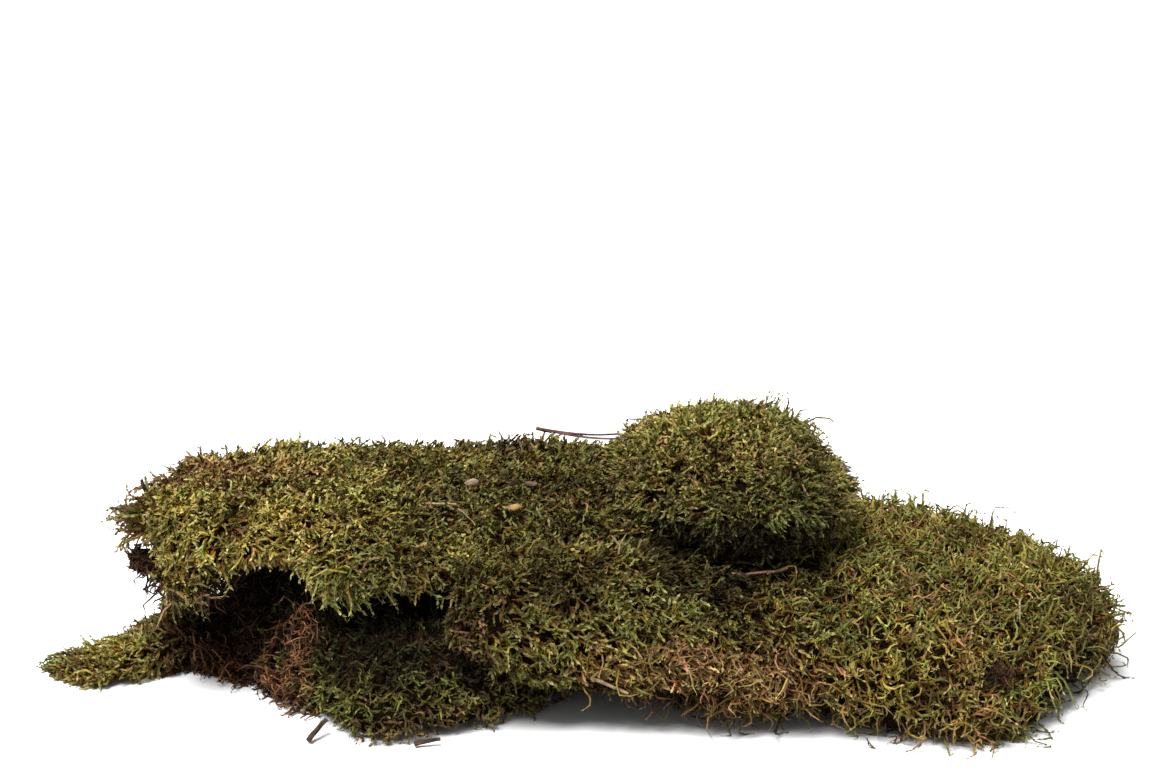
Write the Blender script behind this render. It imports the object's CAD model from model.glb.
"""The looks of a moss clump: torn mats of sheet moss, with every leafy shoot a mesh."""
import math
from collections import namedtuple

import bmesh
import bpy
import numpy as np
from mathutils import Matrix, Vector, noise
from mathutils.bvhtree import BVHTree


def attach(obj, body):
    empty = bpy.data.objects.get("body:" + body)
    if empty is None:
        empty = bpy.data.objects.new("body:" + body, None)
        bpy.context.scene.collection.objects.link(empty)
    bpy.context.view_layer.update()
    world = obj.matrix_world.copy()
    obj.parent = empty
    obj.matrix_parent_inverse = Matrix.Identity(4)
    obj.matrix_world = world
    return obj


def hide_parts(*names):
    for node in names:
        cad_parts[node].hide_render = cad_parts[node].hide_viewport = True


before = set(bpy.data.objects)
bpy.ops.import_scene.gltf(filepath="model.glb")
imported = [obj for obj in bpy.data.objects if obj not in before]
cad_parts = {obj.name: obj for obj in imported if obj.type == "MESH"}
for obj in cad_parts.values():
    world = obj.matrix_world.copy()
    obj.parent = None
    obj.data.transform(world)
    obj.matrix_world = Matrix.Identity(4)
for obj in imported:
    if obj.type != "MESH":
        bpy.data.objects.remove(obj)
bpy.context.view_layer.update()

# ---- Upper mat -------------------------------------------------------------------------------
# A thick slab of sheet moss, torn off its log whole. Live leafy shoots lie combed over a felt of
# old brown growth. They cling to it and to each other, and stand out ragged along the torn rim.

# Sizes are in millimetres, which MM turns into metres. A habit's lift and a leaf's angle are in
# degrees, and a habit's spread and bend in radians.
MM = 0.001
MATS = ("upper_mat", "top_cushion", "right_mat", "left_mat", "left_tongue")
CLODS = ("soil_clod", "dark_clod")
WELD = 0.01             # corners this near to each other are one corner
PRESSED = 1.2           # moss with another mat this near in front of it is pressed flat there
CLEAR = 1.2             # no shoot starts this near to a twig, a scale or a needle
SEAM = 3.0              # where mats are this near to each other, the old growth of both meets
ON_THE_FLOOR = 2.5      # an underside that is lower than this grows nothing
UNDERSIDE_SLOPE = -0.3  # a surface whose normal points down more than this is an underside
DEEPEST = 0.38          # how far in the old growth can lie, as a share of the mat's thickness
WORN_DEEPEST = 0.3      # how much farther it can lie where the mat is worn, as such a share
DEAD_SHARE = 0.14       # of the shoots, scattered anywhere
STUNTED = 0.45          # how much shorter shoots are on an underside
FAN = 0.5               # how far the shoots of one tuft spread
CURL = 5.4              # how far a shoot's curl turns over its length, in radians
GOLDEN_TURN = math.radians(137.5)                   # from each leaf round the stem to the next
NEARLY_UP = Vector((0.13, 0.07, 1)).normalized()    # slanted, so that it misses upright edges
noise.seed_set(11)

# How many leaves a shoot has, their length and width, and how far they open from the stem.
Leaf = namedtuple("Leaf", "count length width angle")

# How a mat's shoots grow: how many there are, how long and how evenly so; how steeply they rise,
# the way they are combed, how loosely, and how far they bend; how deep they root, and how much
# deeper in the hollows; and their stem's joints, thickness and wiggle.
Habit = namedtuple("Habit", "per_mm2 length range lift flow spread bend sink relief "
                            "joints stem wiggle")

# An egg-shaped place, and how much drier, greener, more shaded or brighter its shoots are.
Patch = namedtuple("Patch", "centre reach dry green shade bright", defaults=(0, 0, 0, 0))

# A place where a mat is worn thin, how much deeper it is there, and the share of its shoots left.
Thin = namedtuple("Thin", "centre reach deeper left")


def unit(vectors):
    """Each vector brought to length 1."""
    return vectors / (np.linalg.norm(vectors, axis=-1, keepdims=True) + 1e-12)


def nodes_as_bmesh(names):
    """The surfaces of CAD nodes, in the world, with their split corners welded."""
    bm = bmesh.new()
    for name in names:
        bm.from_mesh(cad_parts[name].data)
    bmesh.ops.remove_doubles(bm, verts=bm.verts, dist=WELD * MM)
    bmesh.ops.triangulate(bm, faces=bm.faces)
    bm.normal_update()
    return bm


class Skin:
    """The outer surface of a mat, for growing on and for measuring to."""

    def __init__(self, node):
        bm = nodes_as_bmesh([node])
        self.tree = BVHTree.FromBMesh(bm)
        self.points = np.array([v.co for v in bm.verts])
        self.normals = np.array([v.normal for v in bm.verts])
        self.faces = np.array([[v.index for v in f.verts] for f in bm.faces])
        self.mesh = bpy.data.meshes.new(node + "_skin")
        bm.to_mesh(self.mesh)
        bm.free()

    def sample(self, per_mm2, rng):
        """Points spread evenly over the surface, with their normals."""
        a, b, c = (self.points[self.faces[:, i]] for i in range(3))
        area = np.linalg.norm(np.cross(b - a, c - a), axis=1) / 2
        count = int(area.sum() / MM**2 * per_mm2)
        face = rng.choice(len(area), count, p=area / area.sum())
        u, v = rng.random((2, count, 1))
        fold = u + v > 1
        u, v = np.where(fold, 1 - u, u), np.where(fold, 1 - v, v)
        weights = (1 - u - v, u, v)
        corners = self.faces[face]
        points = sum(w * self.points[corners[:, i]] for i, w in enumerate(weights))
        normals = sum(w * self.normals[corners[:, i]] for i, w in enumerate(weights))
        return points, unit(normals)


skins = {node: Skin(node) for node in MATS}
loose_bmesh = nodes_as_bmesh([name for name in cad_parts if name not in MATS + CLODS])
loose_things = BVHTree.FromBMesh(loose_bmesh)
loose_bmesh.free()


def in_the_open(points, normals, node):
    """Which points have air in front of them, with no other mat pressed on them."""
    ahead = points + normals * PRESSED * MM
    free = np.ones(len(points), bool)
    for name, skin in skins.items():
        if name != node:
            for i in np.flatnonzero(free):
                spot, outward, _, _ = skin.tree.ray_cast(Vector(ahead[i]), NEARLY_UP)
                free[i] = spot is None or outward.dot(NEARLY_UP) < 0
    return free


def near_loose_things(points):
    """Which points are too near to a twig, a scale or a needle."""
    return np.array([loose_things.find_nearest(Vector(point), CLEAR * MM)[0] is not None
                     for point in points], bool)


def clouds(points, spacing, offset):
    """A smooth random value from -1 to 1 at each point, in clouds about spacing wide."""
    shift = Vector((offset, offset * 0.7, offset * 1.3))
    return np.array([noise.noise(Vector(p) / (spacing * MM) + shift) for p in points])


def swells(points):
    """The mat's own lumps and hollows: above 0 where it swells, below 0 where it sinks."""
    small = clouds(points, spacing=9, offset=13.0)
    broad = clouds(points, spacing=24, offset=15.0)
    return 0.7 * small + 0.9 * broad


def within(points, place):
    """1 in the middle of an egg-shaped place, falling to 0 at its edge."""
    middle = 1.3        # above 1, the value stays at 1 for some way from the centre
    away = (points / MM - np.array(place.centre)) / np.array(place.reach)
    return np.clip(middle * (1 - (away**2).sum(1)), 0, 1)


def turned(vectors, axes, angles):
    """Each vector turned about its axis."""
    c, s = np.cos(angles)[:, None], np.sin(angles)[:, None]
    along = (vectors * axes).sum(1, keepdims=True)
    return vectors * c + np.cross(axes, vectors) * s + axes * along * (1 - c)


def new_object(name, mesh):
    """An object in the scene for a mesh, a light or a camera."""
    obj = bpy.data.objects.new(name, mesh)
    bpy.context.scene.collection.objects.link(obj)
    return obj


def moss_piece(name, mesh):
    """A piece of moss: it rides on the clump and takes its finish from the slot."""
    obj = new_object(name, mesh)
    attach(obj, "root")
    return obj


def sunk(node, points, normals, depth, thin):
    """How far in the old growth lies at each point, in millimetres: farther where the mat is
    worn thin, not so far where it is slight, and at the surface where it meets another mat."""
    others = [skin.tree for other, skin in skins.items() if other != node]
    more = sum((within(points, worn) * worn.deeper for worn in thin), np.zeros(len(points)))
    step_in = 2         # the thickness is measured from just under the surface
    for i, point in enumerate(points):
        if any(other.find_nearest(Vector(point), SEAM * MM)[0] is not None for other in others):
            depth[i] = more[i] = 0
        start = Vector(point - normals[i] * step_in * MM)
        beyond = skins[node].tree.ray_cast(start, Vector(-normals[i]))[3] or 0
        thickness = beyond / MM + step_in
        depth[i] = min(depth[i], DEEPEST * thickness) + min(more[i], WORN_DEEPEST * thickness)
    return depth


def felt(name, node, depth, relief, voxel, thin, material):
    """The old growth under the live shoots: the mat's surface, drawn in by its depth and
    roughened. Relief is how much its lumps stand out, and thin says where it is drawn in more."""
    rough, least_inset, off_the_floor = 0.6, 0.2, 0.3
    guide = new_object(name + "_guide", skins[node].mesh)
    remesh = guide.modifiers.new("voxels", "REMESH")
    remesh.mode = "VOXEL"
    remesh.voxel_size = voxel * MM
    bpy.context.view_layer.update()
    shape = guide.evaluated_get(bpy.context.evaluated_depsgraph_get())
    mesh = bpy.data.meshes.new_from_object(shape)
    bpy.data.objects.remove(guide)
    mesh.name = name
    points = np.array([v.co for v in mesh.vertices])
    normals = np.array([v.normal for v in mesh.vertices])
    pits = clouds(points, spacing=4, offset=4.0)
    inset = depth * (1 + rough * pits) - relief * swells(points)
    inset = sunk(node, points, normals, inset, thin)
    points = points - normals * np.maximum(inset, least_inset)[:, None] * MM
    points[:, 2] = np.maximum(points[:, 2], off_the_floor * MM)
    mesh.vertices.foreach_set("co", points.astype(np.float32).ravel())
    mesh.shade_smooth()
    mesh.materials.append(material)
    obj = moss_piece(name, mesh)
    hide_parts(node)


def stems(roots, normals, start, end, length, habit, rng):
    """The line of each shoot's stem, with the way across it and the way up at every joint. It
    bends from its start direction to its end direction and curls on the way. Sway is the place
    in its curl where each begins."""
    above_the_floor, astray, tilted, slower = 0.5, 0.2, 0.35, 0.7
    count, joints = len(roots), habit.joints
    s = (np.arange(joints + 1) / joints)[None, :, None]
    sway = rng.random((count, 1, 1)) * 2 * math.pi
    side = unit(np.cross(start, normals) + astray * rng.normal(size=(count, 3)))[:, None]
    lift = unit(np.cross(side[:, 0], start))[:, None]
    curl = CURL * s + sway
    weave = np.sin(curl) * side + np.cos(slower * curl + sway) * lift
    heading = unit(start[:, None] * (1 - s) + end[:, None] * s + habit.wiggle * weave)
    steps = heading[:, :-1] * (length / joints)[:, None, None]
    path = roots[:, None] + np.concatenate([np.zeros((count, 1, 3)), np.cumsum(steps, 1)], 1)
    path[:, :, 2] = np.maximum(path[:, :, 2], above_the_floor * MM)
    tilt = normals[:, None] + tilted * rng.normal(size=(count, 1, 3))
    across = unit(np.cross(heading, tilt))
    upward = np.cross(across, heading)
    return path, across, upward, sway


def stem_corners(path, across, upward, thickness):
    """The corners of three-sided stems, thickest below the middle, with one point at the tip."""
    count, joints = len(path), path.shape[1] - 1
    s = (np.arange(joints) / joints)[None, :, None]
    radius = thickness * MM / 2 * (0.7 + s - 1.2 * s**2)
    corners = []
    for k in range(3):
        angle = k * 2 * math.pi / 3
        around = np.cos(angle) * across[:, :-1] + np.sin(angle) * upward[:, :-1]
        corners.append(path[:, :-1] + radius * around)
    return np.concatenate([np.stack(corners, 2).reshape(count, -1, 3), path[:, -1:]], 1)


def leaf_corners(path, across, upward, sway, up_stem, leaf, rng):
    """Small leaves that stand off the stem by turns, each folded along its keel. They have four
    corners: base, side, tip and side. Up_stem is how far up the stem each one grows. A leaf is
    widest some way along it, with its keel folded back there, and leaves near the tip are small."""
    widest_at, fold, shrink, uneven = 0.38, 0.18, 0.35, 0.3
    count, joints = len(path), path.shape[1] - 1
    joint = np.minimum((up_stem * joints).astype(int), joints - 1)
    share = (up_stem * joints - joint)[None, :, None]
    base = path[:, joint] * (1 - share) + path[:, joint + 1] * share
    forward = unit(path[:, joint + 1] - path[:, joint])
    turn = (np.arange(leaf.count) * GOLDEN_TURN)[None, :, None] + 2 * sway
    turn = turn + rng.normal(size=(count, leaf.count, 1)) * uneven
    outward = np.cos(turn) * across[:, joint] + np.sin(turn) * upward[:, joint]
    edge = np.cross(forward, outward)
    open_by = np.radians(leaf.angle * rng.uniform(0.6, 1.4, (count, leaf.count, 1)))
    reach = forward * np.cos(open_by) + outward * np.sin(open_by)
    back = np.cross(edge, reach)
    smaller = 1 - shrink * up_stem[:, None] ** 2
    size = rng.uniform(0.75, 1.2, (count, leaf.count, 1)) * smaller * MM
    tip = base + reach * leaf.length * size
    keel = base + (widest_at * leaf.length * reach - fold * leaf.width * back) * size
    half = edge * leaf.width / 2 * size
    leaves = np.stack([base, keel + half, tip, keel - half], 2)
    return leaves.reshape(count, 4 * leaf.count, 3)


def shoots(name, roots, normals, start, end, length, traits, habit, leaf, material, rng):
    """Leafy shoots as one mesh: thin three-sided stems with their leaves. Traits are values for
    the material, one per shoot, and along and outer how far up its stem and out on its leaves a
    corner is."""
    above_the_floor, bare_foot, at_a_side = 0.1, 0.8, 0.4
    count, joints = len(roots), habit.joints
    up_stem = (np.arange(leaf.count) + bare_foot) / max(leaf.count, 1)
    path, across, upward, sway = stems(roots, normals, start, end, length, habit, rng)
    points = np.concatenate([stem_corners(path, across, upward, habit.stem),
                             leaf_corners(path, across, upward, sway, up_stem, leaf, rng)], 1)
    points[:, :, 2] = np.maximum(points[:, :, 2], above_the_floor * MM)

    each = points.shape[1]
    faces, flat_map = shoot_faces(joints, leaf.count)
    all_faces = (faces[None] + (np.arange(count) * each)[:, None, None]).reshape(-1, 3)
    mesh = bpy.data.meshes.new(name)
    mesh.vertices.add(count * each)
    mesh.vertices.foreach_set("co", points.astype(np.float32).ravel())
    mesh.loops.add(all_faces.size)
    mesh.loops.foreach_set("vertex_index", all_faces.astype(np.int32).ravel())
    mesh.polygons.add(len(all_faces))
    mesh.polygons.foreach_set("loop_start", np.arange(0, all_faces.size, 3, dtype=np.int32))
    mesh.update(calc_edges=True)

    stem_along = np.append(np.repeat(np.arange(joints), 3), joints) / joints
    along = np.concatenate([stem_along, np.repeat(up_stem, 4)])
    leaf_outer = np.tile((0, at_a_side, 1, at_a_side), leaf.count)
    outer = np.concatenate([np.zeros(len(stem_along)), leaf_outer])
    set_trait(mesh, "along", np.tile(along, count))
    set_trait(mesh, "outer", np.tile(outer, count))
    for trait, values in traits.items():
        set_trait(mesh, trait, np.repeat(values, each))
    lay_out(mesh, count, flat_map)
    mesh.materials.append(material)
    mesh.shade_flat()
    moss_piece(name, mesh)


def shoot_faces(joints, leaves):
    """The faces of one shoot, and where each of their corners lies in its cell of the map. The
    stem's three sides are strips at the left of the cell, and its leaves fill the rest."""
    faces, flat_map = [(2, 1, 0)], [((0, 0), (0.05, 0), (0.1, 0))]
    tip = 3 * joints
    for j in range(joints):
        low, high = j / joints, (j + 1) / joints
        for k in range(3):
            a, b = 3 * j + k, 3 * j + (k + 1) % 3
            u, v = k / 30, (k + 1) / 30
            if j == joints - 1:
                faces.append((a, b, tip))
                flat_map.append(((u, low), (v, low), (u, high)))
            else:
                faces += [(a, b, b + 3), (a, b + 3, a + 3)]
                flat_map += [((u, low), (v, low), (v, high)), ((u, low), (v, high), (u, high))]
    for k in range(leaves):
        base, left, end, right = range(tip + 1 + 4 * k, tip + 5 + 4 * k)
        low, mid, high = k / leaves, (k + 0.5) / leaves, (k + 1) / leaves
        faces += [(base, left, end), (base, end, right)]
        flat_map += [((0.15, mid), (0.5, low), (1, mid)), ((0.15, mid), (1, mid), (0.5, high))]
    return np.array(faces), np.array(flat_map)


def set_trait(mesh, name, values):
    """Stores a value for each corner, for the material to read."""
    trait = mesh.attributes.new(name, "FLOAT", "POINT")
    trait.data.foreach_set("value", values.astype(np.float32))


def lay_out(mesh, count, flat_map):
    """A map on which each shoot has a cell of its own, so that it keeps its own colour."""
    margin = 0.06       # of a cell, left free on each side
    cells = math.ceil(math.sqrt(count))
    corner = np.stack([np.arange(count) % cells, np.arange(count) // cells], -1)
    spots = (corner[:, None, None] + margin + (1 - 2 * margin) * flat_map[None]) / cells
    layer = mesh.uv_layers.new(name="OFBake")
    layer.data.foreach_set("uv", spots.astype(np.float32).ravel())


def rooting_spots(node, habit, thin, tuft, keep, rng):
    """Where shoots root on the open surface of a mat. They are fewer at the back and where the
    mat is worn thin. Keep, if given, is the share of them to keep at a point."""
    fewer_behind, least_slope, sharpness = 0.3, 0.3, 3
    points, normals = skins[node].sample(habit.per_mm2 / tuft, rng)
    behind = np.clip((normals[:, 1] - least_slope) * sharpness, 0, 1)
    share = 1.0 - fewer_behind * behind
    for worn in thin:
        share *= 1 - (1 - worn.left) * within(points, worn)
    if keep is not None:
        share = share * keep(points, normals)
    chosen = rng.random(len(points)) < share
    chosen &= ~((points[:, 2] < ON_THE_FLOOR * MM) & (normals[:, 2] < UNDERSIDE_SLOPE))
    points, normals = points[chosen], normals[chosen]
    chosen = in_the_open(points, normals, node) & ~near_loose_things(points)
    return points[chosen], normals[chosen]


def combed(points, normals, habit, tuft, rng):
    """The way each shoot lies along the surface, and the angle at which it rises. Shoots lie
    downhill and in locks. Those of one tuft stand a little apart and fan out."""
    sag, stand_apart, combing, astray, uneven = 0.6, 1.1, 2.2, 0.55, 0.2
    downhill = np.array((0.0, 0.0, -sag)) + np.array(habit.flow)
    lie = unit(downhill - normals * (downhill * normals).sum(1, keepdims=True))
    locks = combing * clouds(points, spacing=16, offset=3.0)
    locks += clouds(points, spacing=5, offset=9.0)
    swing = locks + rng.normal(size=len(points)) * astray
    lie = turned(lie, normals, swing * habit.spread)
    angle = np.radians(habit.lift) + rng.normal(size=len(points)) * uneven
    points, normals, lie, angle = (np.repeat(v, tuft, 0) for v in (points, normals, lie, angle))
    count = len(points)
    if tuft > 1:
        apart = rng.normal(size=(count, 3)) * stand_apart * MM
        points = points + apart - normals * (apart * normals).sum(1, keepdims=True)
        lie = turned(lie, normals, rng.normal(size=count) * FAN * 2)
        angle = angle + rng.normal(size=count) * FAN * 0.6
    angle = (angle + rng.normal(size=count) * uneven)[:, None]
    return points, normals, lie, angle


def traits_of_moss(points, swell, patches, rng):
    """How dry, green, shaded and bright each shoot is: in drifts, by chance, by the mat's swells
    and by the patches that it stands in. The numbers are how much each of these counts."""
    count = len(points)
    mottle = 0.5 * clouds(points, spacing=22, offset=5.0)
    mottle += 0.5 * clouds(points, spacing=7, offset=1.0)
    drift = 0.7 * clouds(points, spacing=30, offset=8.0)
    drift += 0.4 * clouds(points, spacing=6, offset=6.0)
    glow = clouds(points, spacing=26, offset=17.0)
    dead = rng.random(count) < DEAD_SHARE
    dry = 1.5 * mottle - 0.3 + rng.normal(size=count) * 0.25 + 0.9 * dead - 0.4 * swell
    green = 0.45 + drift + rng.normal(size=count) * 0.5
    shade = 0.08 + rng.normal(size=count) * 0.25 - 1.0 * swell
    bright = rng.normal(size=count) * 0.26 - 0.02 + 0.4 * glow + 0.3 * swell
    for patch in patches:
        amount = within(points, patch)
        dry += patch.dry * amount
        green += patch.green * amount
        shade += patch.shade * amount
        bright += patch.bright * amount
    return {
        "dry": np.clip(dry, 0, 1),
        "green": np.clip(green, 0, 1),
        "shade": np.clip(shade, 0, 1),
        "bright": np.clip(np.exp(bright), 0.3, 2.5),
    }


def grow(name, node, seed, habit, leaf, patches, material, thin=(), tuft=1, hang=0.0,
         outward=0.25, keep=None, split=1):
    """Covers the open surface of a mat with shoots. Where the mat is thin they are fewer and sit
    deeper. Tuft is how many stand together. Hang and outward are how far their ends turn down
    and away from the mat. Split is how many pieces they make, from left to right."""
    splay, lowest, highest, shallow, deep = 0.35, -0.3, 1.2, 0.6, 1.1
    rng = np.random.default_rng(seed)
    points, normals = rooting_spots(node, habit, thin, tuft, keep, rng)
    points, normals, lie, angle = combed(points, normals, habit, tuft, rng)
    count = len(points)
    start = unit(lie * np.cos(angle) + normals * np.sin(angle))
    swung = turned(lie, normals, rng.normal(size=count) * habit.bend)
    rise = np.clip(rng.normal(outward, splay, count), lowest, highest)[:, None]
    end = unit(swung + normals * rise + np.array((0, 0, -hang)))
    length = habit.length * MM * rng.lognormal(0.0, habit.range, count)
    if hang == 0:
        underneath = np.clip(-3 * normals[:, 2], 0, 1)
        length *= 1 - STUNTED * underneath
    swell = swells(points)
    depth = habit.sink * rng.uniform(shallow, deep, count) - swell * habit.relief
    depth = sunk(node, points, normals, depth, thin)
    roots = points - normals * depth[:, None] * MM
    traits = traits_of_moss(points, swell, patches, rng)

    edges = np.quantile(points[:, 0], np.linspace(0, 1, split + 1))
    edges[-1] += 1      # so that the shoot farthest right is in the last piece
    for i in range(split):
        part = (points[:, 0] >= edges[i]) & (points[:, 0] < edges[i + 1])
        shoots(name if split == 1 else f"{name}_{i + 1}", roots[part], normals[part], start[part],
               end[part], length[part], {trait: values[part] for trait, values in traits.items()},
               habit, leaf, material, rng)


COLOUR, VALUE = "NodeSocketColor", "NodeSocketFloat"


def new_group(name, inputs, outputs):
    """An effect that several materials use, with what it takes from them and gives them."""
    group = bpy.data.node_groups.new(name, "ShaderNodeTree")
    for label, kind in inputs.items():
        group.interface.new_socket(label, in_out="INPUT", socket_type=kind)
    for label, kind in outputs.items():
        group.interface.new_socket(label, in_out="OUTPUT", socket_type=kind)
    taken = group.nodes.new("NodeGroupInput").outputs
    given = group.nodes.new("NodeGroupOutput").inputs
    return group, taken, given


def place(tree, group, **values):
    """The group put in a material, with the material's own values. Returns its outputs."""
    node = tree.nodes.new("ShaderNodeGroup")
    node.node_tree = group
    for label, value in values.items():
        feed(tree, value, node.inputs[label.replace("_", " ")])
    return node.outputs


def feed(tree, value, socket):
    """Sets a socket to a number or colour, or links an output to it."""
    if isinstance(value, bpy.types.NodeSocket):
        tree.links.new(value, socket)
    elif isinstance(value, tuple) and len(socket.default_value) == 4:
        socket.default_value = (*value, 1)
    else:
        socket.default_value = value


def maths(tree, operation, a, b=0.0, c=0.0):
    """The result of a calculation on up to three numbers or outputs."""
    node = tree.nodes.new("ShaderNodeMath")
    node.operation = operation
    for socket, value in zip(node.inputs, (a, b, c)):
        feed(tree, value, socket)
    return node.outputs[0]


def spread_over(tree, value, low, high):
    """0 where the value is low or less, 1 where it is high or more."""
    node = tree.nodes.new("ShaderNodeMapRange")
    node.interpolation_type = "SMOOTHSTEP"
    for label, setting in (("Value", value), ("From Min", low), ("From Max", high)):
        feed(tree, setting, node.inputs[label])
    return node.outputs["Result"]


def mixed(tree, share, a, b):
    """From colour a, where the share is 0, to colour b, where it is 1."""
    node = tree.nodes.new("ShaderNodeMix")
    node.data_type = "RGBA"
    for socket, value in zip((node.inputs[0], node.inputs[6], node.inputs[7]), (share, a, b)):
        feed(tree, value, socket)
    return node.outputs[2]


def trait_of(tree, name):
    """The value stored under that name by set_trait."""
    node = tree.nodes.new("ShaderNodeAttribute")
    node.attribute_name = name
    return node.outputs["Fac"]


def brightened(tree, colour, value):
    """The colour with its brightness times the value."""
    node = tree.nodes.new("ShaderNodeHueSaturation")
    feed(tree, colour, node.inputs["Color"])
    feed(tree, value, node.inputs["Value"])
    return node.outputs["Color"]


def new_material(name, roughness, specular):
    """A material with its node tree and its shader."""
    material = bpy.data.materials.new(name)
    material.use_nodes = True
    shader = material.node_tree.nodes["Principled BSDF"]
    shader.inputs["Roughness"].default_value = roughness
    shader.inputs["Specular IOR Level"].default_value = specular
    return material, material.node_tree, shader


grain, taken, given = new_group("grain", {"Scale": VALUE, "Contrast": VALUE}, {"Value": VALUE})
where = grain.nodes.new("ShaderNodeTexCoord")
cloud = grain.nodes.new("ShaderNodeTexNoise")
cloud.inputs["Detail"].default_value = 5
grain.links.new(where.outputs["Object"], cloud.inputs["Vector"])
grain.links.new(taken["Scale"], cloud.inputs["Scale"])
centred = maths(grain, "SUBTRACT", cloud.outputs["Fac"], 0.5)
feed(grain, maths(grain, "MULTIPLY_ADD", centred, taken["Contrast"], 0.5), given["Value"])

moss_colouring, taken, given = new_group(
    "moss colouring",
    {"Root": COLOUR, "Olive": COLOUR, "Green": COLOUR, "Tip": COLOUR, "Dry": COLOUR},
    {"Colour": COLOUR, "Roughness": VALUE})
# Each shoot runs from brown, where it leaves the felt, through olive, green or its dried colour to
# a paler tip. Where it is shaded it turns to a deep brown, and all of it is finely speckled.
PALE_UP, PALE_OUT = 0.4, 0.25           # how much paler the stem's tip and the leaves' tips are
BROWN_FROM, BROWN_TO = -0.02, 0.62      # where the brown fades out, as shares of the shoot's length
SHADED, DEEP_BROWN = 0.8, 0.35          # how far shade browns a shoot, and how bright that brown is
SPECKLE_SCALE, SPECKLE_CONTRAST = 650.0, 2.0
along = trait_of(moss_colouring, "along")
live = mixed(moss_colouring, trait_of(moss_colouring, "green"), taken["Olive"], taken["Green"])
tipped = maths(moss_colouring, "MULTIPLY", along, along)
tipped = maths(moss_colouring, "MULTIPLY", tipped, PALE_UP)
outer = trait_of(moss_colouring, "outer")
tipped = maths(moss_colouring, "MULTIPLY_ADD", outer, PALE_OUT, tipped)
live = mixed(moss_colouring, tipped, live, taken["Tip"])
dead = mixed(moss_colouring, tipped, taken["Dry"], taken["Tip"])
dried = mixed(moss_colouring, trait_of(moss_colouring, "dry"), live, dead)
out_of_felt = spread_over(moss_colouring, along, BROWN_FROM, BROWN_TO)
grown = mixed(moss_colouring, out_of_felt, taken["Root"], dried)
deep = brightened(moss_colouring, taken["Root"], DEEP_BROWN)
deepness = maths(moss_colouring, "MULTIPLY", trait_of(moss_colouring, "shade"), SHADED)
shaded = mixed(moss_colouring, deepness, grown, deep)
speckles = place(moss_colouring, grain, Scale=SPECKLE_SCALE, Contrast=SPECKLE_CONTRAST)
speckle = speckles["Value"]
light = maths(moss_colouring, "MULTIPLY_ADD", speckle, 0.7, 0.65)
light = maths(moss_colouring, "MULTIPLY", light, trait_of(moss_colouring, "bright"))
feed(moss_colouring, brightened(moss_colouring, shaded, light), given["Colour"])
feed(moss_colouring, maths(moss_colouring, "MULTIPLY_ADD", speckle, 0.3, 0.6), given["Roughness"])


def moss(name, root, olive, green, tip, dry):
    """Live shoots: brown where they come out of the felt, paler to the tip, some dried out."""
    material, tree, shader = new_material(name, 0.8, 0.12)
    made = place(tree, moss_colouring, Root=root, Olive=olive, Green=green, Tip=tip, Dry=dry)
    feed(tree, made["Colour"], shader.inputs["Base Color"])
    feed(tree, made["Roughness"], shader.inputs["Roughness"])
    return material


def matted(name, dark, light, scale, bump_mm):
    """Matted or earthy stuff: two tones in fine patches, with a bump of the same grain."""
    material, tree, shader = new_material(name, 0.95, 0.05)
    tone = place(tree, grain, Scale=scale, Contrast=2.2)["Value"]
    fine = place(tree, grain, Scale=scale * 3, Contrast=2.0)["Value"]
    patchy = maths(tree, "MULTIPLY", tone, fine)
    feed(tree, mixed(tree, spread_over(tree, patchy, 0.1, 0.55), dark, light),
         shader.inputs["Base Color"])
    bump = tree.nodes.new("ShaderNodeBump")
    bump.inputs["Distance"].default_value = bump_mm * MM
    feed(tree, maths(tree, "ADD", tone, fine), bump.inputs["Height"])
    feed(tree, bump.outputs["Normal"], shader.inputs["Normal"])
    return material


old_growth = matted("old brown growth", (0.004, 0.002, 0.0006), (0.030, 0.015, 0.005), 260.0, 2.0)
olive_moss = moss("olive moss", root=(0.062, 0.024, 0.001), olive=(0.118, 0.093, 0.010),
                  green=(0.057, 0.078, 0.009), tip=(0.222, 0.193, 0.080),
                  dry=(0.13, 0.062, 0.026))

UPPER_PATCHES = [
    Patch((-150, 0, 85), (75, 90, 60), green=-0.35, shade=-0.1, bright=0.63),
    Patch((-182, 34, 82), (36, 30, 20), dry=1.3, green=-0.3, shade=0.1, bright=-0.3),
    Patch((-142, 26, 87), (20, 14, 14), dry=0.9, bright=-0.1),
    Patch((-96, 34, 87), (16, 12, 14), dry=0.7),
    Patch((-30, 66, 87), (20, 18, 14), dry=0.9, shade=0.2, bright=-0.3),
    Patch((-205, 0, 76), (16, 40, 26), dry=0.6, shade=0.2, bright=-0.4),
    Patch((0, -10, 85), (50, 70, 40), green=0.15, shade=0.2, bright=-0.1),
    Patch((-100, -60, 52), (110, 30, 18), dry=0.1, shade=0.45, bright=-0.3),
    Patch((-50, -68, 52), (14, 34, 22), dry=0.9, green=-0.2, shade=0.4, bright=-0.5),
]
WORN_AWAY = [Thin((-216, -48, 66), (32, 56, 60), deeper=11, left=0.6),
             Thin((-216, 14, 44), (32, 75, 26), deeper=11, left=0.6),
             Thin((-85, -68, 50), (84, 36, 15), deeper=9, left=1)]
upper_habit = Habit(per_mm2=0.165, length=7.6, range=0.25, lift=22, flow=(0.2, -0.5, 0),
                    spread=0.9, bend=1.3, sink=4.5, relief=2.5, joints=3, stem=1.4, wiggle=0.55)
felt("upper_mat_felt", "upper_mat", depth=5.5, relief=2.5, voxel=4.0, thin=WORN_AWAY,
     material=old_growth)
grow("upper_mat_shoots", "upper_mat", 21, upper_habit, Leaf(6, 3.2, 1.7, 16), UPPER_PATCHES,
     olive_moss, thin=WORN_AWAY, outward=0.12, split=2)

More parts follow.
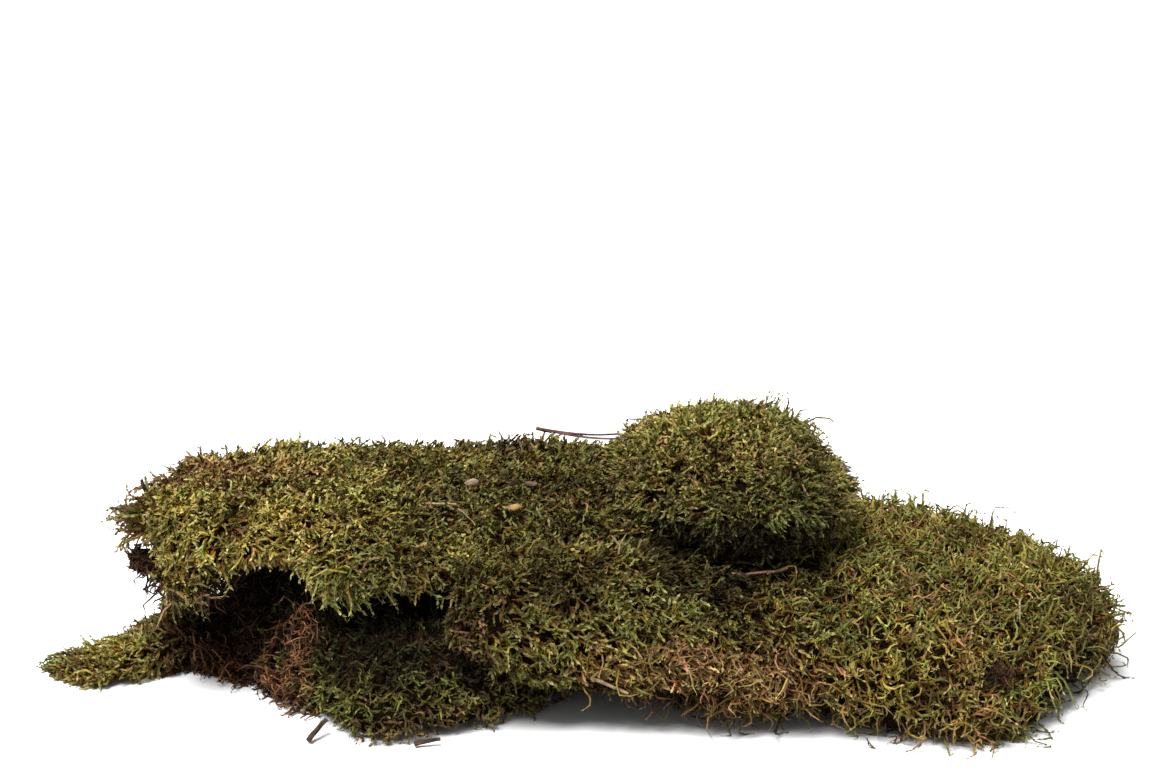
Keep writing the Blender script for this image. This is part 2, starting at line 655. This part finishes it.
# ---- Upper mat's torn rim ---------------------------------------------------------------------
# Along the overhanging front the outer shoots hang down free, and at the left end the mat is worn
# to loose brown strings with gaps between them.

LIP = Patch((-95, -62, 62), (100, 26, 20))
HANGING = [Patch((-114, -66, 56), (9, 24, 16)),
           Patch((-104, -66, 56), (6, 24, 16)),
           Patch((-84, -70, 56), (9, 20, 12)),
           Patch((-187, -44, 50), (17, 24, 12))]
RUSTY_LIP = Patch((-166, -46, 46), (20, 34, 16), dry=1.3, green=-0.6, shade=0.4, bright=-0.6)


def along_the_lip(points, normals):
    """Where shoots hang free: all through the hanging tufts, and here and there between them."""
    here_and_there, top_slope = 0.04, 0.3
    tufts = sum(within(points, place) for place in HANGING)
    share = np.clip(here_and_there * within(points, LIP) + tufts, 0, 1)
    return share * (normals[:, 2] < top_slope)


lip_habit = upper_habit._replace(per_mm2=0.14, length=17.0, lift=10, sink=2.0, bend=0.7)
grow("upper_mat_lip", "upper_mat", 31, lip_habit, Leaf(11, 3.4, 1.7, 32),
     [*UPPER_PATCHES[:2], RUSTY_LIP], olive_moss, thin=WORN_AWAY, hang=0.9,
     outward=0.1, keep=along_the_lip)
FRAYED_TOP = Patch((-212, 4, 76), (20, 40, 13), dry=0.1, bright=0.1)
frayed_habit = upper_habit._replace(per_mm2=0.07, length=12.0, lift=45, flow=(-1, 0, 0),
                                    spread=0.6, relief=0, wiggle=0.4, joints=4)
grow("upper_mat_frays", "upper_mat", 32, frayed_habit, Leaf(9, 4.2, 2.1, 30),
     [*UPPER_PATCHES, FRAYED_TOP], olive_moss, hang=0.2, outward=0.6,
     keep=lambda points, normals: within(points, FRAYED_TOP))

# ---- Top cushion -----------------------------------------------------------------------------
# A dense rounded lump of the same moss that sits on the upper and the right mat. Its shoots are
# short and stand up in little stars, green and olive mixed with patches that have died back.

green_moss = moss("green moss", root=(0.050, 0.019, 0.001), olive=(0.101, 0.078, 0.008),
                  green=(0.049, 0.068, 0.007), tip=(0.206, 0.182, 0.071),
                  dry=(0.140, 0.055, 0.026))
CUSHION_PATCHES = [
    Patch((60, 20, 112), (75, 75, 22), dry=0.05, green=-0.1, shade=-0.1, bright=0.5),
    Patch((61, -18, 98), (12, 10, 12), dry=1.0, shade=0.2, bright=-0.4),
    Patch((73, -25, 95), (9, 9, 9), dry=0.9, bright=0.2),
    Patch((100, 28, 106), (18, 26, 14), dry=0.9, shade=0.1, bright=-0.2),
    Patch((104, -28, 92), (20, 24, 18), dry=-0.4, green=0.6, shade=-0.1, bright=0.1),
    Patch((28, -12, 98), (12, 14, 14), dry=0.5, shade=0.1, bright=-0.1),
    Patch((66, -46, 68), (75, 40, 22), dry=0.1, shade=0.8, bright=-1.2),
    Patch((58, -44, 82), (60, 30, 20), green=0.05, shade=0.2, bright=-0.5),
]
cushion_habit = Habit(per_mm2=0.265, length=6.2, range=0.28, lift=50, flow=(0, -0.3, 0),
                      spread=1.0, bend=0.9, sink=4.5, relief=3.0, joints=2, stem=1.4, wiggle=0.35)
felt("top_cushion_felt", "top_cushion", depth=5.5, relief=3.0, voxel=4.0, thin=[],
     material=old_growth)
grow("top_cushion_shoots", "top_cushion", 22, cushion_habit, Leaf(7, 3.2, 1.6, 20),
     CUSHION_PATCHES, green_moss, tuft=4)
WISPS = Patch((90, 26, 108), (18, 26, 13))
wisp_habit = cushion_habit._replace(per_mm2=0.3, length=11.0, range=0.3, lift=55, stem=1.1,
                                    flow=(1.2, 0, 1.2), spread=0.4, bend=0.9, joints=4, wiggle=0.7)
grow("top_cushion_wisps", "top_cushion", 33, wisp_habit, Leaf(7, 2.8, 1.3, 28),
     [Patch((97, 32, 106), (40, 40, 40), dry=0.6, shade=-0.2, bright=-0.2)], green_moss,
     keep=lambda points, normals: within(points, WISPS))

# ---- Right mat -------------------------------------------------------------------------------
# The long mat: a flap that hangs in front at its left end and a dome down to the floor. Its
# shoots are leafy at the left, and long, thin and curled at the right. Its low front has died to
# straw, and its right end is frayed.

DEAD_FRONT = Patch((50, -90, 28), (72, 24, 24))
RIGHT_PATCHES = [
    Patch((160, 10, 55), (80, 100, 45), dry=-0.1, green=0.05, shade=-0.15, bright=0.28),
    Patch((160, -90, 30), (70, 40, 34), dry=0.05, green=-0.1, shade=-0.1, bright=0.47),
    DEAD_FRONT._replace(dry=1.3, green=-0.4, shade=-0.1, bright=0.25),
    Patch((150, -112, 12), (70, 30, 16), dry=0.5, green=-0.2, shade=0.1, bright=-0.1),
    Patch((64, -50, 66), (62, 26, 22), dry=0.1, shade=0.5, bright=-0.5),
    Patch((-12, -66, 64), (40, 30, 30), green=0.15, shade=0.1, bright=-0.05),
    Patch((-18, -82, 42), (32, 24, 24), dry=-0.3, shade=-0.3, bright=0.25),
    Patch((38, -66, 58), (38, 24, 16), dry=-0.5, green=0.7, shade=-0.1),
    Patch((-50, -70, 42), (16, 34, 34), dry=1.0, green=-0.3, shade=0.6, bright=-0.9),
    Patch((20, -80, 14), (90, 60, 12), dry=0.3, shade=0.8, bright=-0.5),
]
FRAYED_END = Thin((244, -72, 8), (52, 60, 34), deeper=26, left=0.6)
FRAYED_FOOT = Thin((150, -108, 2), (100, 24, 18), deeper=10, left=0.7)
ARCH = Thin((104, -108, 2), (38, 36, 24), deeper=16, left=0.7)
RAGGED_FOOT = Thin((36, -92, 2), (50, 30, 22), deeper=12, left=0.7)
WORN_FRONT = [FRAYED_END, FRAYED_FOOT, ARCH, RAGGED_FOOT]
CURLY_FROM, CURLY_TO = 45, 125          # along X, in millimetres
right_habit = Habit(per_mm2=0.135, length=10.0, range=0.32, lift=22, flow=(0.5, -0.4, 0),
                    spread=1.1, bend=1.6, sink=4.5, relief=2.5, joints=4, stem=1.25, wiggle=1.1)
leafy_habit = right_habit._replace(per_mm2=0.155, length=8.0, range=0.28, lift=30, bend=1.1,
                                   joints=3, wiggle=0.5)


def curly(points, normals):
    """None at the mat's leafy left, all at its right."""
    return np.clip((points[:, 0] / MM - CURLY_FROM) / (CURLY_TO - CURLY_FROM), 0, 1)


def at_the_frays(points, normals):
    """Where strands straggle: at the frayed end and in the arch, and fewer along the foot."""
    fewer = 0.7
    return np.max((within(points, FRAYED_END), within(points, ARCH),
                   fewer * within(points, FRAYED_FOOT)), axis=0)


felt("right_mat_felt", "right_mat", depth=6.0, relief=2.5, voxel=4.5, thin=WORN_FRONT,
     material=old_growth)
grow("right_mat_leafy_shoots", "right_mat", 40, leafy_habit, Leaf(6, 3.4, 1.8, 17),
     RIGHT_PATCHES, green_moss, thin=WORN_FRONT, outward=0.15,
     keep=lambda points, normals: 1 - curly(points, normals))
grow("right_mat_curly_shoots", "right_mat", 23, right_habit, Leaf(4, 2.9, 1.3, 16),
     RIGHT_PATCHES, green_moss, thin=WORN_FRONT, outward=0.12, keep=curly,
     split=2)
straggly_habit = right_habit._replace(per_mm2=0.09, length=22.0, range=0.3, lift=40, sink=5.0,
                                      relief=0, joints=6, stem=1.0, wiggle=1.2)
grow("right_mat_frays", "right_mat", 34, straggly_habit, Leaf(9, 3.0, 1.4, 24),
     [*RIGHT_PATCHES, Patch(ARCH.centre, (50, 40, 30), dry=0.6, bright=-0.3)],
     green_moss, thin=[worn._replace(left=1) for worn in WORN_FRONT], hang=0.5,
     outward=0.7, keep=at_the_frays)
grow("right_mat_dead_strings", "right_mat", 35,
     straggly_habit._replace(per_mm2=0.12, length=17.0, sink=4.0, lift=25, joints=5),
     Leaf(4, 2.6, 1.1, 22),
     RIGHT_PATCHES, green_moss, hang=0.5, outward=0.35,
     keep=lambda points, normals: within(points, DEAD_FRONT))
EVERYWHERE = ((0, 0, 0), (900, 900, 900))           # a place that takes in the whole clump
OPEN_TOP = Patch((150, -20, 40), (140, 130, 60))
grow("right_mat_long_strands", "right_mat", 38,
     straggly_habit._replace(per_mm2=0.008, length=17.0, sink=1.5, lift=8, flow=(0.6, 0, 0),
                             stem=0.8, joints=6),
     Leaf(5, 2.4, 1.0, 20), [Patch(*EVERYWHERE, dry=0.5)],
     green_moss, outward=0.1, keep=lambda points, normals: within(points, OPEN_TOP))

# ---- Left mat --------------------------------------------------------------------------------
# The folded lobe underneath. Its front is shaded green. To the left, under the overhang, its
# brown root side shows, matted with rootlets and earth.

deep_moss = moss("shaded moss", root=(0.024, 0.011, 0.002), olive=(0.073, 0.060, 0.010),
                 green=(0.040, 0.061, 0.009), tip=(0.185, 0.17, 0.05),
                 dry=(0.11, 0.053, 0.021))
rootlets = moss("rust brown rootlets", root=(0.014, 0.006, 0.002), olive=(0.055, 0.024, 0.010),
                green=(0.090, 0.036, 0.014), tip=(0.10, 0.046, 0.019),
                dry=(0.12, 0.058, 0.026))
ROOT_SIDE = Patch((-162, 6, 18), (36, 80, 60))
RUSTY_TUFT = Patch((-126, -46, 30), (17, 22, 24))
LEFT_PATCHES = [
    Patch((-80, -62, 54), (100, 52, 36), green=0.1, shade=0.8, bright=-1.2),
    Patch((-85, -92, 16), (60, 30, 30), green=0.1, shade=-0.1, bright=0.05),
    Patch((-128, -60, 8), (22, 30, 12), dry=1.0, shade=0.1, bright=0.1),
    Patch((-60, -90, 4), (70, 34, 13), dry=1.0, shade=0.1, bright=-0.05),
    Patch((-10, -62, 40), (30, 30, 40), dry=0.3, shade=0.8, bright=-0.4),
    Patch((-145, -20, 48), (60, 60, 30), shade=0.8, bright=-1.2),
    Patch((-48, -50, 46), (44, 50, 26), dry=0.9, shade=0.4, bright=-0.3),
]
left_habit = Habit(per_mm2=0.122, length=7.8, range=0.28, lift=28, flow=(0, -0.1, 0.3),
                   spread=1.6, bend=1.5, sink=4.5, relief=2.5, joints=3, stem=1.25, wiggle=1.0)
felt("left_mat_felt", "left_mat", depth=5.5, relief=2.5, voxel=4.0, thin=[],
     material=old_growth)
grow("left_mat_shoots", "left_mat", 24, left_habit, Leaf(6, 3.0, 1.4, 24), LEFT_PATCHES,
     deep_moss,
     keep=lambda points, normals: 1 - np.maximum(within(points, ROOT_SIDE),
                                                 within(points, RUSTY_TUFT)))
rootlet_habit = left_habit._replace(per_mm2=0.16, length=13.0, lift=30, sink=4.0, spread=1.0,
                                    flow=(0, -0.3, 0), wiggle=1.1, joints=4, stem=0.7)
ROOT_PATCHES = [Patch((-165, 20, 30), (60, 80, 40), green=-0.3, shade=0.5, bright=-0.85),
                RUSTY_TUFT._replace(dry=0.5, green=0.5, shade=-0.4, bright=0.25)]
grow("left_mat_rootlets", "left_mat", 36, rootlet_habit, Leaf(1, 2.6, 1.1, 30), ROOT_PATCHES,
     rootlets, hang=0.3, outward=0.5,
     keep=lambda points, normals: np.maximum(within(points, ROOT_SIDE),
                                             within(points, RUSTY_TUFT)))
ON_THE_GROUND = [Patch((-174, -4, 3), (30, 34, 14)),
                 Patch((-146, -46, 3), (34, 30, 12))]
grow("left_mat_ground_rootlets", "left_mat", 39,
     rootlet_habit._replace(per_mm2=0.55, length=15.0, range=0.3, lift=10, sink=1.0, joints=6,
                            flow=(-0.2, -1.5, 0), spread=0.8, stem=1.0, wiggle=1.6),
     Leaf(3, 2.6, 1.2, 30),
     [Patch((-160, -25, 3), (90, 90, 40), dry=0.1, green=0.2, bright=0.1)],
     rootlets, hang=0.3, outward=0.1,
     keep=lambda points, normals: sum(within(points, patch) for patch in ON_THE_GROUND))

# The upper mat's underside, just above, hangs with the same rootlets.
UNDERSIDE = Patch((-171, 4, 52), (31, 80, 16))
THICK_ROOTS = Patch((-168, 4, 52), (17, 32, 24))


def under_the_overhang(points, normals):
    """Where rootlets hang: a few all over the underside, and most where the roots are thick."""
    few, most = 0.3, 0.7
    share = few * within(points, UNDERSIDE) + most * within(points, THICK_ROOTS)
    return (normals[:, 2] < UNDERSIDE_SLOPE) * share


grow("upper_mat_rootlets", "upper_mat", 37,
     rootlet_habit._replace(per_mm2=0.8, length=17.0, range=0.2, sink=2.0, stem=1.1),
     Leaf(0, 0, 0, 0),
     [Patch((-180, -30, 50), (90, 90, 60), dry=0.1, green=0.1, shade=0.35, bright=-0.8)],
     rootlets, hang=0.8, outward=0.5, keep=under_the_overhang)

# ---- Left tongue -----------------------------------------------------------------------------
# A thin strip of the same moss that has torn loose. It lies on the surface and points left, and
# runs back under the heap, where its shoots have died to brown.

tongue_habit = upper_habit._replace(per_mm2=0.22, length=7.0, lift=22, flow=(-0.9, -0.2, 0),
                                    spread=0.6, sink=3.0, relief=1.0)
felt("left_tongue_felt", "left_tongue", depth=3.5, relief=1.0, voxel=2.5, thin=[],
     material=old_growth)
grow("left_tongue_shoots", "left_tongue", 25, tongue_habit, Leaf(7, 3.1, 1.5, 18),
     [Patch((-218, -20, 12), (50, 40, 30), green=-0.1, shade=-0.1, bright=0.36),
      Patch((-176, -22, 18), (24, 44, 26), dry=1.4, green=-0.6, shade=0.3, bright=-0.5)],
     olive_moss)

# ---- Soil ------------------------------------------------------------------------------------
# Crumbs of dark woodland earth: one hangs in rootlets at the left end, one sits in the right mat.
# Fine rootlets hold them together and stand out all round.

soil = matted("soil", (0.008, 0.0045, 0.0022), (0.08, 0.042, 0.020), 450.0, 1.5)
crumb_habit = rootlet_habit._replace(per_mm2=0.9, length=4.5, range=0.4, lift=35, sink=0.3,
                                     relief=0, joints=4, stem=0.9, wiggle=1.3)
for seed, crumb in enumerate(CLODS, 41):
    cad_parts[crumb].material_slots[0].material = soil
    skins[crumb] = Skin(crumb)
    grow(crumb + "_rootlets", crumb, seed, crumb_habit, Leaf(2, 1.8, 1.1, 40),
         [Patch(*EVERYWHERE, dry=0.1, green=0.2, shade=0.1, bright=-0.15)],
         rootlets, outward=0.5)

# ---- Wood and bark ---------------------------------------------------------------------------
# Broken twigs, a chip of bark and a bit of root that fell on the moss and are held in its shoots.
# They are dry, and weathered along their grain.


def streaked(name, dark, light, roughness, scale, bump_mm):
    """Dry plant stuff with streaks and a fine grain."""
    material, tree, shader = new_material(name, roughness, 0.3)
    streaks = place(tree, grain, Scale=scale, Contrast=2.4)["Value"]
    fine = place(tree, grain, Scale=scale * 4, Contrast=1.8)["Value"]
    tone = maths(tree, "MULTIPLY_ADD", fine, 0.35, maths(tree, "MULTIPLY", streaks, 0.65))
    feed(tree, mixed(tree, spread_over(tree, tone, 0.2, 0.8), dark, light),
         shader.inputs["Base Color"])
    bump = tree.nodes.new("ShaderNodeBump")
    bump.inputs["Distance"].default_value = bump_mm * MM
    feed(tree, tone, bump.inputs["Height"])
    feed(tree, bump.outputs["Normal"], shader.inputs["Normal"])
    return material


wood = streaked("dry wood", (0.009, 0.004, 0.002), (0.06, 0.030, 0.015), 0.75, 300.0, 0.5)
bark = streaked("dark bark", (0.006, 0.003, 0.002), (0.045, 0.024, 0.015), 0.85, 350.0, 0.6)
red_wood = streaked("red stem", (0.026, 0.012, 0.007), (0.15, 0.080, 0.042), 0.6, 300.0, 0.3)
for node, material in {"brown_twig": red_wood, "red_stem": red_wood, "twig_stub": wood,
                       "root_bit": wood, "bark_chip": bark}.items():
    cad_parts[node].material_slots[0].material = material

# ---- Straw -----------------------------------------------------------------------------------
# Bits of dead grass stalk and a forked stem, bleached pale. They lie loose on the moss, caught
# between its shoots.

straw = streaked("straw", (0.09, 0.055, 0.024), (0.25, 0.18, 0.095), 0.55, 260.0, 0.2)
for node in ("straw_stalk", "straw_tip", "pale_stick", "tan_stick", "forked_stem"):
    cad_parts[node].material_slots[0].material = straw

# ---- Scales ----------------------------------------------------------------------------------
# A papery bud scale, a scrap of yellow leaf and two brown scales. They are thin and dry, and
# lie where they fell, caught in the shoots.

bud = streaked("bud scale", (0.10, 0.058, 0.036), (0.24, 0.17, 0.12), 0.45, 240.0, 0.3)
leaf_scrap = streaked("yellow leaf", (0.07, 0.036, 0.010), (0.20, 0.125, 0.038), 0.5, 240.0, 0.3)
brown_scale = streaked("brown scale", (0.024, 0.010, 0.006), (0.09, 0.043, 0.026), 0.5, 240.0, 0.3)
for node, material in {"bud_scale": bud, "leaf_scrap": leaf_scrap, "red_scale": brown_scale,
                       "brown_scale": brown_scale}.items():
    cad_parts[node].material_slots[0].material = material

# ---- Pine needles ----------------------------------------------------------------------------
# A pair of fallen needles, still held by their sheath and stuck in the cushion's left side. They
# have dried red-brown and are a little shiny.

needle = streaked("dry pine needle", (0.03, 0.010, 0.008), (0.11, 0.045, 0.030), 0.4, 200.0, 0.15)
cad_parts["pine_needle_pair"].material_slots[0].material = needle

# ---- Surface, light and camera ---------------------------------------------------------------
# A plain pale floor, a broad soft light from above, and a long lens that looks a little down on
# the heap from the front. Distances here are in metres.

FLOOR_REACH = 15
SKY_STRENGTH = 0.65
SUN_STRENGTH = 7.8
SUN_WIDTH = math.radians(30)
FROM_IN_FRONT = math.radians(22)
FROM_THE_LEFT = math.radians(-14)
floor_mesh = bpy.data.meshes.new("floor")
bm = bmesh.new()
bmesh.ops.create_grid(bm, x_segments=1, y_segments=1, size=FLOOR_REACH)
bm.to_mesh(floor_mesh)
bm.free()
floor_material, tree, shader = new_material("pale floor", 0.9, 0.2)
shader.inputs["Base Color"].default_value = (0.62, 0.62, 0.62, 1)
floor_mesh.materials.append(floor_material)
new_object("floor", floor_mesh)

world = bpy.data.worlds.new("studio")
world.use_nodes = True
world.node_tree.nodes["Background"].inputs["Color"].default_value = (1, 1, 1, 1)
world.node_tree.nodes["Background"].inputs["Strength"].default_value = SKY_STRENGTH
bpy.context.scene.world = world

sun = bpy.data.lights.new("overhead", "SUN")
sun.energy = SUN_STRENGTH
sun.angle = SUN_WIDTH
sun_object = new_object("overhead", sun)
sun_object.rotation_euler = (FROM_IN_FRONT, FROM_THE_LEFT, 0)

AIM = Vector((0, -0.028, 0.05))
DISTANCE = 1.3
LENS = 89.04                            # in millimetres
LOOK_DOWN = math.radians(20)
SET_LOW = math.radians(3.85)            # the camera is tipped up by this, so the heap sits low
camera = bpy.data.cameras.new("camera")
camera.lens = LENS
camera_object = new_object("camera", camera)
camera_object.location = AIM + DISTANCE * Vector((0, -math.cos(LOOK_DOWN), math.sin(LOOK_DOWN)))
camera_object.rotation_euler = (math.pi / 2 - LOOK_DOWN + SET_LOW, 0, 0)
bpy.context.scene.camera = camera_object
bpy.context.scene.view_settings.view_transform = "Standard"
